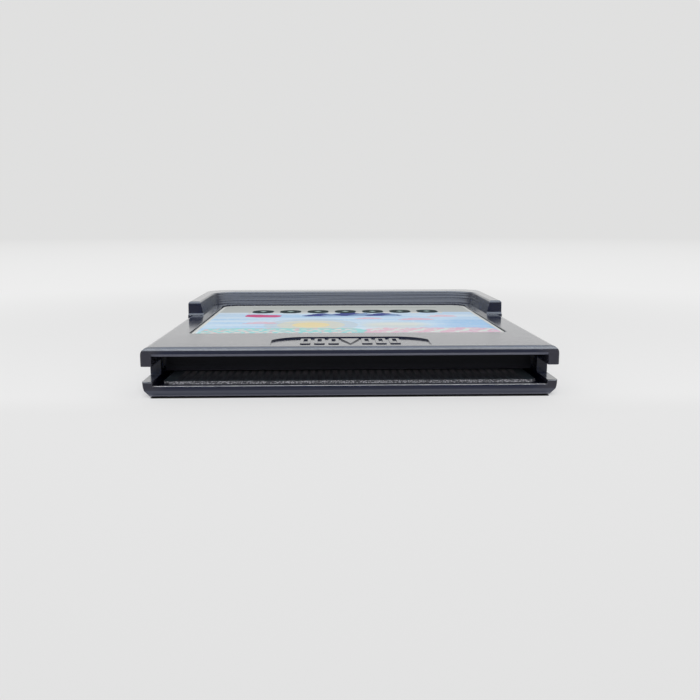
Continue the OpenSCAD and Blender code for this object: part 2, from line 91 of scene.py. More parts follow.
def add(tree, kind, inputs=None, **settings):
    item = tree.nodes.new("ShaderNode" + kind)
    for name, value in settings.items():
        setattr(item, name, value)
    for name, value in (inputs or {}).items():
        plug(tree, item.inputs[name], value)
    return item


def addCalc(tree, kind, operation, values):
    item = add(tree, kind, operation=operation)
    for i, value in enumerate(values):
        if value is not None:
            plug(tree, item.inputs[i], value)
    return item.outputs


def calc(tree, operation, a, b=None, c=None):
    return addCalc(tree, "Math", operation, (a, b, c))[0]


def vectorCalc(tree, operation, a, b=None):
    result = "Value" if operation in {"LENGTH", "DOT_PRODUCT"} else "Vector"
    return addCalc(tree, "VectorMath", operation, (a, b))[result]


def combine(tree, operation, first, *others):
    # a product, or the largest, of several values
    for value in others:
        first = calc(tree, operation, first, value)
    return first


def mixColour(tree, factor, a, b):
    item = add(tree, "Mix", data_type="RGBA")
    for i, value in ((0, factor), (6, a), (7, b)):
        plug(tree, item.inputs[i], value)
    return item.outputs[2]


def between(tree, value, low, high, toLow=0.0, toHigh=1.0, smooth=False):
    item = add(tree, "MapRange", interpolation_type="SMOOTHSTEP" if smooth else "LINEAR")
    for i, part in enumerate((value, low, high, toLow, toHigh)):
        plug(tree, item.inputs[i], part)
    return item.outputs[0]


def noiseAt(tree, place, scale, detail=2.0):
    item = add(tree, "TexNoise", {"Vector": place, "Scale": scale, "Detail": detail})
    return item.outputs["Fac"]


def newGroup(name, inputs, outputs):
    group = bpy.data.node_groups.new(name, "ShaderNodeTree")
    for label, kind, value in inputs:
        socket = group.interface.new_socket(label, in_out="INPUT", socket_type="NodeSocket" + kind)
        if value is not None:
            socket.default_value = value
    for label, kind in outputs:
        group.interface.new_socket(label, in_out="OUTPUT", socket_type="NodeSocket" + kind)
    start = group.nodes.new("NodeGroupInput").outputs
    end = group.nodes.new("NodeGroupOutput").inputs
    return group, start, end


def useGroup(tree, group, inputs):
    item = tree.nodes.new("ShaderNodeGroup")
    item.node_tree = group
    for name, value in inputs.items():
        plug(tree, item.inputs[name], value)
    return item.outputs


def objectPlace(tree):
    return add(tree, "TexCoord").outputs["Object"]


def surfaceNormal(tree):
    return add(tree, "NewGeometry").outputs["Normal"]


def axesOf(tree, vector):
    return add(tree, "SeparateXYZ", {"Vector": vector}).outputs


def inMm(tree, place, origin, flat=False):
    # the place in mm from an origin, without its height if it is to be flat
    moved = vectorCalc(tree, "SUBTRACT", place, origin)
    return vectorCalc(tree, "MULTIPLY", moved, (1.0 / mm, 1.0 / mm, 0.0 if flat else 1.0 / mm))


def newMaterial(name):
    material = bpy.data.materials.new(name)
    material.use_nodes = True
    tree = material.node_tree
    return material, tree, tree.nodes["Principled BSDF"]


def bumpFrom(tree, shader, height, depth):
    bump = add(tree, "Bump", {"Height": height, "Distance": depth, "Strength": 1.0})
    tree.links.new(bump.outputs["Normal"], shader.inputs["Normal"])
    return bump


# Effects that several materials share; a scale is in waves per metre

effectLook = {
    "patchScale": 90.0, "shadeScale": 400.0,
    # where the painted highlight on edges lies
    "highlightTurn": (0.995, 0.8),        # cosine of the angle between the rounded and the true normal
    "highlightScale": 1200.0, "highlightBreaks": (0.42, 0.62), "highlightSamples": 6,
    "dustFacing": (0.5, 0.9),       # how much a surface has to look up
}


def buildMouldSkin():
    # fine spark-eroded grain of a mould, with slow changes in roughness and in shade
    group, start, end = newGroup(
        "mouldSkin",
        [("Grain Size", "Float", 0.0001), ("Roughness Low", "Float", 0.2), ("Roughness High", "Float", 0.3)],
        [("Height", "Float"), ("Roughness", "Float"), ("Shade", "Float")])
    place = objectPlace(group)
    grain = noiseAt(group, place, calc(group, "DIVIDE", 1.0, start["Grain Size"]))
    patches = noiseAt(group, place, effectLook["patchScale"], 3.0)
    rough = between(group, patches, *noiseSpan, start["Roughness Low"], start["Roughness High"])
    group.links.new(grain, end["Height"])
    group.links.new(rough, end["Roughness"])
    group.links.new(noiseAt(group, place, effectLook["shadeScale"], 3.0), end["Shade"])
    return group


def buildEdgeHighlight():
    # mask of a painted highlight on edges: where a rounded normal leaves the true one, broken up by noise
    group, start, end = newGroup(
        "edgeHighlight", [("Reach", "Float", 0.0002), ("Amount", "Float", 0.5)], [("Mask", "Float")])
    soft = add(group, "Bevel", {"Radius": start["Reach"]}, samples=effectLook["highlightSamples"])
    same = vectorCalc(group, "DOT_PRODUCT", soft.outputs["Normal"], surfaceNormal(group))
    turned = between(group, same, *effectLook["highlightTurn"])
    noise = noiseAt(group, objectPlace(group), effectLook["highlightScale"], 4.0)
    broken = between(group, noise, *effectLook["highlightBreaks"])
    group.links.new(combine(group, "MULTIPLY", turned, broken, start["Amount"]), end["Mask"])
    return group


def buildDust():
    # sparse specks that lie on faces that look up
    group, start, end = newGroup(
        "dust", [("Cell", "Float", 0.002), ("Speck", "Float", 0.06), ("Share", "Float", 0.3)],
        [("Mask", "Float")])
    scale = calc(group, "DIVIDE", 1.0, start["Cell"])
    cells = add(group, "TexVoronoi", {"Vector": objectPlace(group), "Scale": scale}).outputs
    near = calc(group, "LESS_THAN", cells["Distance"], start["Speck"])
    pick = add(group, "SeparateColor", {"Color": cells["Color"]}).outputs[0]
    chosen = calc(group, "LESS_THAN", pick, start["Share"])
    level = between(group, axesOf(group, surfaceNormal(group))["Z"], *effectLook["dustFacing"])
    group.links.new(combine(group, "MULTIPLY", near, chosen, level), end["Mask"])
    return group


def buildRoundBox():
    # mask of a box with round corners, turned about its middle, in mm
    group, start, end = newGroup(
        "roundBox",
        [("Place", "Vector", None), ("Middle", "Vector", None), ("Half", "Vector", None),
         ("Turn", "Float", 0.0), ("Corner", "Float", 0.5), ("Blur", "Float", 0.08)],
        [("Mask", "Float")])
    moved = vectorCalc(group, "SUBTRACT", start["Place"], start["Middle"])
    turned = add(group, "VectorRotate", {"Vector": moved, "Angle": start["Turn"]}, rotation_type="Z_AXIS")
    beyond = vectorCalc(group, "SUBTRACT", vectorCalc(group, "ABSOLUTE", turned.outputs[0]), start["Half"])
    parts = axesOf(group, beyond)
    flat = add(group, "CombineXYZ", {"X": parts["X"], "Y": parts["Y"]}).outputs[0]
    outside = vectorCalc(group, "LENGTH", vectorCalc(group, "MAXIMUM", flat, (0.0, 0.0, 0.0)))
    inside = calc(group, "MINIMUM", calc(group, "MAXIMUM", parts["X"], parts["Y"]), 0.0)
    edge = calc(group, "SUBTRACT", calc(group, "ADD", outside, inside), start["Corner"])
    blur = calc(group, "MULTIPLY", start["Blur"], -1.0)
    group.links.new(between(group, edge, start["Blur"], blur, smooth=True), end["Mask"])
    return group


mouldSkin = buildMouldSkin()
edgeHighlight = buildEdgeHighlight()
dust = buildDust()
roundBox = buildRoundBox()
print("shared effects built")


def boxAt(tree, place, x, y, halfX, halfY, turn=0.0, corner=0.3, blur=0.12):
    # a round box around x and y, turned by degrees
    return useGroup(tree, roundBox, {
        "Place": place, "Middle": (x, y, 0.0), "Half": (halfX - corner, halfY - corner, 1.0),
        "Turn": math.radians(turn), "Corner": corner, "Blur": blur})["Mask"]


# The two moulded shells. A zone is a box in mm: half its width, its depth from the mouth and
# its height over the table. Each pair under facing says how much a surface has to look up
# where the zone has no effect, and where it has all.

shellLook = {
    "colour": (0.004, 0.0062, 0.021, 1.0),
    "insideColour": (0.011, 0.011, 0.016, 1.0),
    "lipColour": (0.021, 0.021, 0.031, 1.0),
    # painted highlight on edges and on the slope over the mouth
    "highlightColour": (0.14, 0.145, 0.185, 1.0),
    # painted light from the table on the slope round the underside
    "footLitColour": (0.045, 0.05, 0.075, 1.0),
    "footLitPale": (0.19, 0.195, 0.24, 1.0),
    # painted highlights along the low front wall and along the label face's front edge
    "sillHighlight": (1.0, 1.0, 1.0, 1.0),
    "ridgeHighlight": (0.12, 0.125, 0.145, 1.0),
    "dustColour": (0.45, 0.44, 0.42, 1.0),
    "roughLow": 0.18, "roughHigh": 0.25, "insideRough": 0.5,
    "index": 1.27, "coatRough": 0.12,
    "grainSize": 0.00016, "grainDepth": 0.0000018,
    "lineSize": 0.0004, "lineStretch": 0.012, "lineDepth": 22.0,    # in grain depths
    "mottleSize": 0.0007, "mottleLow": 0.86,
    # reach and amount of the painted highlight on edges
    "edgeGlint": {"Reach": 0.00018, "Amount": 0.35},
    "dust": {"Cell": 0.0035, "Speck": 0.022, "Share": 0.25},
    # how noise breaks up the painted highlights
    "highlightNoiseScale": 900.0, "highlightNoiseSpan": (0.3, 0.6), "sillHighlightLow": 0.6, "ridgeHighlightLow": 0.75,
    "browDull": 0.3,
    "footLitHeight": (0.65, 0.25),                     # mm over the table
    "lipSide": (29.0, 31.2), "lipDepth": (5.0, 2.0),    # mm from the middle and from the mouth
    "zones": {
        # behind the mouth, where the mould is left rough; the box reaches the rear wall's outer face
        "inside": {"half": 30.9, "depth": (1.15, 68.0), "height": (1.2, 6.8), "blur": 0.05},
        # the slope over the mouth, painted pale as a highlight
        "slope": {"half": 31.2, "depth": (-1.0, 0.5), "height": (4.0, 7.3), "blur": 0.03,
                  "facing": ((-0.35, -0.6),)},
        # the top of the low front wall, and a painted highlight along its edge
        "sillTop": {"half": 31.2, "depth": (0.1, 1.6), "height": (1.8, 2.1), "blur": 0.04,
                    "facing": ((0.75, 0.9),)},
        "sill": {"half": 31.2, "depth": (0.6, 0.94), "height": (1.84, 2.1), "blur": 0.03,
                 "facing": ((0.55, 0.85),)},
        # the label face's rounded front edge: a dull line over a painted highlight
        "brow": {"half": 32.6, "depth": (-1.0, 0.8), "height": (7.4, 9.0), "blur": 0.05,
                 "facing": ((0.62, 0.7), (0.95, 0.88))},
        "ridge": {"half": 32.6, "depth": (-1.0, 0.8), "height": (7.4, 9.0), "blur": 0.05,
                  "facing": ((0.1, 0.2), (0.62, 0.5))},
        # the slope round the underside, painted paler on faces that look down, as painted light from the
        # table
        "foot": {"half": 40.0, "depth": (-5.0, 75.0), "height": (0.2, 1.6), "blur": 0.03,
                 "facing": ((-0.1, -0.5),)},
    },
}


def zoneMask(tree, spot, upward, half, depth, height, blur, facing=()):
    sides = [between(tree, upward, *pair) for pair in facing]
    for axis, low, high in (("X", -half, half), ("Y", *depth), ("Z", *height)):
        sides.append(between(tree, spot[axis], low - blur, low + blur))
        sides.append(between(tree, spot[axis], high + blur, high - blur))
    return combine(tree, "MULTIPLY", *sides)


def shellColour(tree, place, spot, zone):
    look = shellLook
    edgeGlint = useGroup(tree, edgeHighlight, look["edgeGlint"])["Mask"]
    specks = useGroup(tree, dust, look["dust"])["Mask"]
    # noise that breaks up the painted highlights
    highlightNoise = noiseAt(tree, place, look["highlightNoiseScale"])
    sillHighlightBreak = between(tree, highlightNoise, *look["highlightNoiseSpan"], look["sillHighlightLow"], 1.0)
    ridgeHighlightBreak = between(tree, highlightNoise, *look["highlightNoiseSpan"], look["ridgeHighlightLow"], 1.0)
    # the slope under the walls is painted palest at its foot, as painted light where it gets least light
    # from the table
    footLitShare = between(tree, spot["Z"], *look["footLitHeight"])
    footLitColour = mixColour(tree, footLitShare, look["footLitColour"], look["footLitPale"])
    # side walls beside the mouth, in a paler colour
    beside = between(tree, calc(tree, "ABSOLUTE", spot["X"]), *look["lipSide"])
    lips = calc(tree, "MULTIPLY", beside, between(tree, spot["Y"], *look["lipDepth"]))
    colour = look["colour"]
    for mask, over in (
            (zone["inside"], look["insideColour"]),
            (lips, look["lipColour"]),
            (zone["foot"], footLitColour),
            # painted highlight on edges and on the slope over the mouth
            (calc(tree, "MAXIMUM", edgeGlint, zone["slope"]), look["highlightColour"]),
            # painted highlight along the low front wall
            (calc(tree, "MULTIPLY", zone["sill"], sillHighlightBreak), look["sillHighlight"]),
            # painted highlight on the label face's front edge
            (calc(tree, "MULTIPLY", zone["ridge"], ridgeHighlightBreak), look["ridgeHighlight"]),
            (specks, look["dustColour"])):
        colour = mixColour(tree, mask, colour, over)
    return colour


def shellPlastic():
    look = shellLook
    material, tree, shader = newMaterial("shellPlastic")
    place = objectPlace(tree)
    spot = axesOf(tree, inMm(tree, place, (0.0, mouthY, 0.0)))
    upward = axesOf(tree, surfaceNormal(tree))["Z"]
    zone = {name: zoneMask(tree, spot, upward, **box) for name, box in look["zones"].items()}
    plug(tree, shader.inputs["Base Color"], shellColour(tree, place, spot, zone))
    # the moulded skin shines like a thin clear coat over a duller body
    skin = useGroup(tree, mouldSkin, {
        "Grain Size": look["grainSize"],
        "Roughness Low": look["roughLow"], "Roughness High": look["roughHigh"]})
    brow = calc(tree, "MULTIPLY", zone["brow"], look["browDull"])
    dull = combine(tree, "MAXIMUM", zone["inside"], brow, zone["sillTop"])
    rough = between(tree, dull, 0.0, 1.0, skin["Roughness"], look["insideRough"])
    plug(tree, shader.inputs["Roughness"], rough)
    mottle = noiseAt(tree, place, 1.0 / look["mottleSize"])
    mottle = between(tree, mottle, *noiseSpan, look["mottleLow"], 1.0)
    coat = calc(tree, "MULTIPLY", mottle, calc(tree, "SUBTRACT", 1.0, dull))
    plug(tree, shader.inputs["Coat Weight"], coat)
    shader.inputs["IOR"].default_value = look["index"]
    shader.inputs["Coat IOR"].default_value = look["index"]
    shader.inputs["Coat Roughness"].default_value = look["coatRough"]
    # fine level lines on upright walls, left by the tool that cut the mould
    layers = vectorCalc(tree, "MULTIPLY", place, (look["lineStretch"], look["lineStretch"], 1.0))
    lines = noiseAt(tree, layers, 1.0 / look["lineSize"], 1.0)
    height = calc(tree, "MULTIPLY_ADD", lines, look["lineDepth"], skin["Height"])
    bump = bumpFrom(tree, shader, height, look["grainDepth"])
    tree.links.new(bump.outputs["Normal"], shader.inputs["Coat Normal"])
    return material


# The printed label, a generic design of hills, clouds, waves and a sun. Its lengths are mm
# from the middle of the label's front edge.

labelLook = {
    "paper": (0.72, 0.74, 0.72, 1.0),
    "cream": (0.54, 0.565, 0.55, 1.0),
    "sky": (0.44, 0.66, 0.9, 1.0),
    "haze": (0.69, 0.81, 0.92, 1.0),
    "deep": (0.2, 0.45, 0.8, 1.0),
    "pink": (0.84, 0.42, 0.5, 1.0),
    "rose": (0.62, 0.1, 0.25, 1.0),
    "teal": (0.28, 0.7, 0.66, 1.0),
    "mint": (0.62, 0.84, 0.78, 1.0),
    "yellow": (0.92, 0.72, 0.28, 1.0),
    "navy": (0.06, 0.08, 0.28, 1.0),
    "slate": (0.03, 0.045, 0.045, 1.0),
    "border": 0.6, "corner": 1.6,
    "wobbleScale": 0.35, "wobble": 2.4,
    "streakScale": (0.03, 0.22, 0.0), "streakSpan": (0.38, 0.62),
    "sparkleScale": 1.1, "sparkleSpan": (0.5, 0.68), "sparkle": 0.5,
    "sunAt": (-7.0, 12.0),
    "sunRings": ((9.0, "cream", 0.4), (6.5, "yellow", 0.3), (3.6, "yellow", 0.6)),  # radius, ink, amount
    "hills": ((1.0, 26.6, 4.4), (-5.0, 26.2, 3.2), (8.0, 26.6, 3.0)),               # x, y, half the size
    "clouds": ((14.0, 20.0, 1.4), (4.5, 21.5, 1.1), (20.0, 25.0, 1.2), (-17.0, 15.0, 1.3)),  # x, y, size
    "cloudDiscs": ((-1.3, 0.0, 0.8), (0.0, 0.5, 1.1), (1.4, 0.1, 0.9)),             # x, y, radius in sizes
    "bandStart": 32.0, "ruleAt": 40.5, "ruleHalf": 0.16,
    "rowAt": 33.4, "rowPitch": 6.0, "rowPitches": 7,
    "ridgePitch": 4.2, "wavePitch": 2.0, "waveRows": (2.0, 3.8, 5.6),
    "fleckScale": 0.9, "fleckSpan": (0.54, 0.6), "fleck": 0.55,
    "wornScale": 1.7, "wornSpan": (0.68, 0.8), "worn": 0.35,
    "dust": {"Cell": 0.003, "Speck": 0.02, "Share": 0.3},
    "roughLow": 0.3, "roughHigh": 0.38, "index": 1.3, "varnish": 0.22, "varnishRough": 0.15,
    "waveScale": 0.5, "waveDepth": 0.00001,
}


def paint(tree, under, ink, place, *where, amount=1.0, within=None, **form):
    # lays an ink over the colour under it, in the shape of a round box
    mask = boxAt(tree, place, *where, **form)
    if amount < 1.0:
        mask = calc(tree, "MULTIPLY", mask, amount)
    if within is not None:
        mask = calc(tree, "MULTIPLY", mask, within)
    return mixColour(tree, mask, under, labelLook[ink])


def repeatAcross(tree, place, pitch, shift=0.0):
    # folds the place so that what is drawn once comes back at every pitch across the label
    parts = axesOf(tree, place)
    moved = calc(tree, "ADD", parts["X"], shift)
    folded = calc(tree, "WRAP", moved, pitch / 2, -pitch / 2)
    return add(tree, "CombineXYZ", {"X": folded, "Y": parts["Y"]}).outputs[0]


def printSky(tree, place, loose, streaks):
    look = labelLook
    colour = mixColour(tree, streaks, look["sky"], look["haze"])
    # fine sparkle of the printed foil
    sparkle = noiseAt(tree, place, look["sparkleScale"])
    sparkle = between(tree, sparkle, *look["sparkleSpan"], 0.0, look["sparkle"])
    colour = mixColour(tree, sparkle, colour, look["haze"])
    for radius, ink, amount in look["sunRings"]:
        colour = paint(tree, colour, ink, place, *look["sunAt"], radius, radius,
                       corner=radius, blur=0.2, amount=amount)
    # deeper sky at the right, and a haze of yellow
    colour = paint(tree, colour, "deep", place, 25.0, 11.0, 6.5, 9.0, corner=6.0, blur=3.0, amount=0.35)
    return paint(tree, colour, "yellow", loose, 9.0, 11.5, 6.0, 4.0, corner=3.9, blur=2.5, amount=0.3)


def printFarHills(tree, colour, place, loose):
    # navy hills with paler flanks, cut off level at their foot, and a rose one apart
    for x, y, half in labelLook["hills"]:
        ground = boxAt(tree, place, x, y + 2.2, 8.0, 3.4)
        colour = paint(tree, colour, "navy", loose, x, y, half, half, turn=45, corner=0.5, within=ground)
        colour = paint(tree, colour, "sky", loose, x + half * 0.6, y, half / 2, half / 2,
                       turn=45, amount=0.5, within=ground)
    return paint(tree, colour, "rose", loose, -17.5, 26.0, 3.8, 2.2, turn=8, corner=2.0)


def printClouds(tree, colour, place):
    # each of three discs on a bar
    for x, y, size in labelLook["clouds"]:
        for shift, rise, share in labelLook["cloudDiscs"]:
            radius = size * share
            colour = paint(tree, colour, "pink", place, x + shift * size, y + rise * size,
                           radius, radius, corner=radius - 0.02, amount=0.5)
        colour = paint(tree, colour, "pink", place, x, y - 0.6 * size, 2.6 * size, 0.4 * size, amount=0.5)
    return colour


def printRearBand(tree, colour, place, halfWidth, length):
    # cream band with a rule, and a row of slate lozenges and paper dots along its front
    look = labelLook
    halfBand = (length - look["bandStart"]) / 2
    pitch = look["rowPitch"]
    halfRow = look["rowPitches"] * pitch / 2
    y = look["rowAt"]
    colour = paint(tree, colour, "cream", place, 0.0, length - halfBand, halfWidth, halfBand, corner=0.2)
    colour = paint(tree, colour, "slate", place, 0.0, look["ruleAt"], halfRow, look["ruleHalf"],
                   corner=0.1, amount=0.6)
    row = boxAt(tree, place, 0.0, y, halfRow, 4.0, corner=0.2)
    lozenges = repeatAcross(tree, place, pitch)
    dots = repeatAcross(tree, place, pitch, pitch / 2)
    colour = paint(tree, colour, "slate", lozenges, 0.0, y, 2.3, 2.9, corner=2.0, within=row)
    colour = paint(tree, colour, "mint", lozenges, 0.0, y + 0.4, 0.6, 0.6,
                   turn=45, corner=0.1, amount=0.6, within=row)
    return paint(tree, colour, "paper", dots, 0.0, y - 2.4, 1.0, 1.0, corner=0.95, within=row)


def printFront(tree, colour, place, loose):
    look = labelLook
    # near hills on the right, in pink with paler ridges
    colour = paint(tree, colour, "pink", loose, 15.0, 3.4, 12.5, 4.2, corner=4.0, blur=0.2, amount=0.7)
    nearHills = boxAt(tree, place, 15.5, 4.2, 11.5, 3.6, corner=2.0, blur=0.2)
    ridges = repeatAcross(tree, loose, look["ridgePitch"])
    colour = paint(tree, colour, "paper", ridges, 0.0, 4.4, 0.5, 3.0, turn=35, corner=0.4, within=nearHills)
    # waves on the left, in teal with pale crests
    colour = paint(tree, colour, "teal", loose, -12.0, 3.6, 15.0, 4.2, corner=3.6, blur=0.2, amount=0.8)
    waves = boxAt(tree, place, -12.5, 4.2, 14.0, 3.6, corner=2.0, blur=0.2)
    for i, y in enumerate(look["waveRows"]):
        crests = repeatAcross(tree, loose, look["wavePitch"], i * look["wavePitch"] / 2)
        colour = paint(tree, colour, "paper", crests, 0.0, y, 0.6, 0.6, corner=0.55, blur=0.15, within=waves)
    # flecks of another ink on both
    flecks = noiseAt(tree, place, look["fleckScale"], 1.0)
    flecks = between(tree, flecks, *look["fleckSpan"], 0.0, look["fleck"])
    for part, ink in ((waves, "pink"), (nearHills, "mint")):
        colour = mixColour(tree, calc(tree, "MULTIPLY", flecks, part), colour, look[ink])
    return colour


def printedLabel():
    look = labelLook
    material, tree, shader = newMaterial("printedLabel")
    low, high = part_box("label")
    halfWidth = (high[0] - low[0]) / mm / 2
    length = (high[1] - low[1]) / mm
    place = inMm(tree, objectPlace(tree), ((low[0] + high[0]) / 2, low[1], 0.0), flat=True)
    # slow wobble, so that printed outlines aren't quite straight
    ripple = add(tree, "TexNoise", {"Vector": place, "Scale": look["wobbleScale"], "Detail": 2.0})
    wobble = vectorCalc(tree, "SUBTRACT", ripple.outputs["Color"], (0.5, 0.5, 0.5))
    wobble = vectorCalc(tree, "MULTIPLY", wobble, (look["wobble"], look["wobble"], 0.0))
    loose = vectorCalc(tree, "ADD", place, wobble)
    streaks = noiseAt(tree, vectorCalc(tree, "MULTIPLY", place, look["streakScale"]), 1.0, 4.0)
    streaks = between(tree, streaks, *look["streakSpan"])

    colour = printSky(tree, place, loose, streaks)
    colour = printFarHills(tree, colour, place, loose)
    colour = printClouds(tree, colour, place)
    colour = printRearBand(tree, colour, place, halfWidth, length)
    colour = printFront(tree, colour, place, loose)
    inside = boxAt(tree, place, 0.0, length / 2, halfWidth - look["border"],
                     length / 2 - look["border"], corner=look["corner"])
    colour = mixColour(tree, inside, look["paper"], colour)
    # faint rubbed spots and dust
    worn = noiseAt(tree, place, look["wornScale"], 4.0)
    worn = between(tree, worn, *look["wornSpan"], 0.0, look["worn"])
    colour = mixColour(tree, worn, colour, look["paper"])
    specks = useGroup(tree, dust, look["dust"])["Mask"]
    plug(tree, shader.inputs["Base Color"], mixColour(tree, specks, colour, look["slate"]))
    rough = between(tree, streaks, 0.0, 1.0, look["roughLow"], look["roughHigh"])
    plug(tree, shader.inputs["Roughness"], rough)
    # only the thin varnish shines
    shader.inputs["Specular IOR Level"].default_value = 0.0
    shader.inputs["Coat IOR"].default_value = look["index"]
    shader.inputs["Coat Weight"].default_value = look["varnish"]
    shader.inputs["Coat Roughness"].default_value = look["varnishRough"]
    bumpFrom(tree, shader, noiseAt(tree, place, look["waveScale"], 3.0), look["waveDepth"])
    return material


# The circuit board

boardLook = {
    "mask": (0.006, 0.009, 0.011, 1.0), "maskRearLit": (0.045, 0.052, 0.062, 1.0),
    "fibreDark": (0.03, 0.03, 0.035, 1.0), "fibrePale": (0.42, 0.42, 0.45, 1.0),
    "shade": (0.012, 0.012, 0.016, 1.0),
    "rough": 0.42, "cutFacing": (0.97, 0.9),
    "weaveSize": 0.0003, "weaveStretch": 1.6, "weaveDepth": 0.00001,
    "bundleSpan": (0.75, 0.15), "paleSpan": (0.1, 0.5),
    "shadeTop": 0.46, "shadeBlur": 0.04, "rearLitSpan": (2.0, 9.0),      # mm from the underside and the front
}


def boardLaminate():
    look = boardLook
    material, tree, shader = newMaterial("boardLaminate")
    place = objectPlace(tree)
    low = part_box("circuit_board")[0]
    spot = axesOf(tree, inMm(tree, place, tuple(low)))
    cut = calc(tree, "ABSOLUTE", axesOf(tree, surfaceNormal(tree))["Z"])
    cut = between(tree, cut, *look["cutFacing"])
    # glass bundles on the cut edges: pale loops in rows, broken up by noise
    stretched = vectorCalc(tree, "MULTIPLY", place, (1.0, 1.0, look["weaveStretch"]))
    bundles = add(tree, "TexVoronoi", {"Vector": stretched, "Scale": 1.0 / look["weaveSize"]})
    bundles = between(tree, bundles.outputs["Distance"], *look["bundleSpan"])
    weave = calc(tree, "MULTIPLY", bundles, noiseAt(tree, place, 2.0 / look["weaveSize"], 1.0))
    fibre = mixColour(tree, between(tree, weave, *look["paleSpan"]), look["fibreDark"], look["fibrePale"])
    # the lower part of the edge lies in the shade of the low front wall
    shaded = between(
        tree, spot["Z"], look["shadeTop"] + look["shadeBlur"], look["shadeTop"] - look["shadeBlur"])
    fibre = mixColour(tree, shaded, fibre, look["shade"])
    # the solder mask is painted paler towards the rear, as painted light where the mouth's roof shades it
    mask = mixColour(tree, between(tree, spot["Y"], *look["rearLitSpan"]), look["mask"], look["maskRearLit"])
    plug(tree, shader.inputs["Base Color"], mixColour(tree, cut, mask, fibre))
    shader.inputs["Roughness"].default_value = look["rough"]
    bumpFrom(tree, shader, weave, look["weaveDepth"])
    return material


# The contacts' plating, scratched along the way that the card slides; dark at the front and painted paler
# towards the rear, as painted light deep in the mouth

contactLook = {
    # the rear colour is painted light, where the mouth's roof shades the contacts
    "front": (0.016, 0.015, 0.018, 1.0), "rear": (0.26, 0.24, 0.26, 1.0),
    "frontEnd": 2.0,        # mm from the front
    "metal": 0.4, "roughLow": 0.384, "roughHigh": 0.576,
    "scratchWidth": 0.00006, "scratchStretch": 0.04, "scratchDepth": 0.000003,
    "dullSpan": (0.52, 0.7), "dull": 0.5,
}


def contactPlating():
    look = contactLook
    material, tree, shader = newMaterial("contactGold")
    place = objectPlace(tree)
    low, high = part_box("edge_contacts")
    rear = between(
        tree, axesOf(tree, place)["Y"], low[1] + look["frontEnd"] * mm, high[1], smooth=True)
    colour = mixColour(tree, rear, look["front"], look["rear"])
    drawn = vectorCalc(tree, "MULTIPLY", place, (1.0, look["scratchStretch"], 1.0))
    scratch = noiseAt(tree, drawn, 1.0 / look["scratchWidth"])
    dulled = between(tree, scratch, *look["dullSpan"], 0.0, look["dull"])
    plug(tree, shader.inputs["Base Color"], mixColour(tree, dulled, colour, look["front"]))
    rough = between(tree, scratch, *noiseSpan, look["roughLow"], look["roughHigh"])
    plug(tree, shader.inputs["Roughness"], rough)
    shader.inputs["Metallic"].default_value = look["metal"]
    bumpFrom(tree, shader, scratch, look["scratchDepth"])
    return material


# The small parts on the board, and the screw

smallPartLook = {
    "grainSize": 0.0001, "grainDepth": 0.000004,
    "roughLow": 0.8, "roughHigh": 1.25, "darkest": 0.75,    # shares of a part's own roughness and colour
}


def smallPart(name, colour, rough, metallic=0.0):
    look = smallPartLook
    material, tree, shader = newMaterial(name)
    skin = useGroup(tree, mouldSkin, {
        "Grain Size": look["grainSize"],
        "Roughness Low": rough * look["roughLow"], "Roughness High": rough * look["roughHigh"]})
    dark = tuple(part * look["darkest"] for part in colour[:3]) + (1.0,)
    plug(tree, shader.inputs["Base Color"], mixColour(tree, skin["Shade"], dark, colour))
    plug(tree, shader.inputs["Roughness"], skin["Roughness"])
    shader.inputs["Metallic"].default_value = metallic
    bumpFrom(tree, shader, skin["Height"], look["grainDepth"])
    return material


looks = {
    "shell_plastic": shellPlastic(),
    "printed_label": printedLabel(),
    "board_laminate": boardLaminate(),
    "contact_gold": contactPlating(),
    "chip_epoxy": smallPart("chipEpoxy", (0.02, 0.02, 0.022, 1.0), 0.6),
    "tinned_metal": smallPart("tinnedMetal", (0.6, 0.6, 0.62, 1.0), 0.35, metallic=1.0),
    "capacitor_resin": smallPart("capacitorResin", (0.55, 0.3, 0.06, 1.0), 0.35),
    "capacitor_ceramic": smallPart("capacitorCeramic", (0.48, 0.36, 0.22, 1.0), 0.5),
    "resistor_glaze": smallPart("resistorGlaze", (0.03, 0.03, 0.035, 1.0), 0.25),
    "screw_steel": smallPart("screwSteel", (0.55, 0.55, 0.57, 1.0), 0.3, metallic=1.0),
}
slotOf = {part["node"]: part["material_slot"] for part in frame["record"]["subparts"]}
for name, item in nodes.items():
    item.data.materials.clear()
    item.data.materials.append(looks[slotOf[name]])
print("materials set")


# The table, which is the backdrop too. It is painted darker towards the camera, between places on Y, as
# painted shade, and its own glow grows with the distance from the middle.

tableLook = {
    "colour": (0.88, 0.88, 0.88, 1.0),
    # painted shade towards the camera
    "front": (0.75, 0.75, 0.75, 1.0),
    # painted shadow under the case
    "under": (0.03, 0.03, 0.03, 1.0),
    "near": (0.86, 0.86, 0.86, 1.0),
    "nearShadedFront": (0.7396, 0.7396, 0.7396, 1.0),
    "far": (0.745, 0.745, 0.742, 1.0),
    "black": (0.0, 0.0, 0.0, 1.0),
    "radius": 6.0, "sides": 96, "rough": 0.9,
    "frontStart": -0.03, "frontStep": -0.045, "frontEnd": -0.115, "stepShare": 0.4,
    "glowNear": 0.35, "fade": (0.06, 0.2), "haze": (0.1, 1.2),
    "underFront": 0.56, "underSides": 1.0, "frontCorner": 0.6, "rearCorner": 4.5,      # mm
}


def shadeUnderCase(tree, place):
    # 1 on the table under the case, where the case's shadow is painted: a box with small corners in front,
    # one with large ones behind
    look = tableLook
    low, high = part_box("base_shell")
    halfX = high[0] / mm - look["underSides"]
    front = low[1] / mm + look["underFront"]
    rear = high[1] / mm - look["underSides"]
    places = inMm(tree, place, (0.0, 0.0, 0.0), flat=True)
    parts = [
        boxAt(tree, places, 0.0, (y0 + y1) / 2, halfX, (y1 - y0) / 2, corner=corner, blur=0.08)
        for y0, y1, corner in (
            (front, 0.0, look["frontCorner"]), (low[1] / mm / 2, rear, look["rearCorner"]))]
    return combine(tree, "MAXIMUM", *parts)


